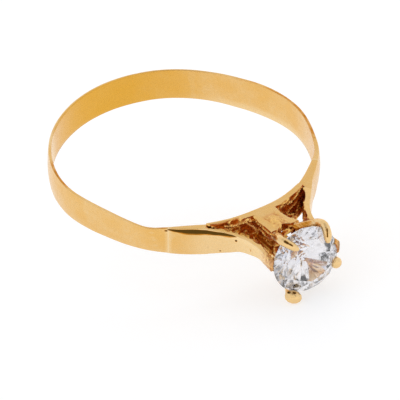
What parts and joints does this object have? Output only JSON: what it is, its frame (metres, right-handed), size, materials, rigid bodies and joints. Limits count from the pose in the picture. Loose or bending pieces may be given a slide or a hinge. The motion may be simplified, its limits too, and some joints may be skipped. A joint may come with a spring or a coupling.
{
  "type": "engagement ring",
  "caption": "Thin gold solitaire ring with openwork cathedral shoulders and a round brilliant-cut clear stone held by claws.",
  "frame": {"origin": "centre of the finger hole at the band's mid width", "axes": "+Z along the finger hole, so the ring lies on its side; the head and stone point to -Y; +X is to the right as seen from the stone's side"},
  "size_m": [0.0179, 0.0234, 0.0049],
  "materials": {
    "band_gold": "worn polish with fine scratches",
    "cast_gold": "polished casting with small pits",
    "rough_gold": "rough as cast",
    "solder": "filed solder",
    "clear_stone": "polished facets"
  },
  "bodies": {
    "root": {"shank": "band_gold", "left_solder_seam": "solder", "right_solder_seam": "solder", "left_shoulder_wedge": "band_gold", "right_shoulder_wedge": "band_gold", "left_shoulder_plate": "cast_gold", "right_shoulder_plate": "cast_gold", "finger_rail": "cast_gold", "left_web": "rough_gold", "right_web": "rough_gold", "upper_stem": "cast_gold", "lower_stem": "rough_gold", "gallery_ring": "rough_gold", "claw_upper_left": "cast_gold", "claw_upper_right": "cast_gold", "claw_lower_left": "cast_gold", "claw_lower_right": "cast_gold", "stone": "clear_stone"}
  },
  "joints": []
}
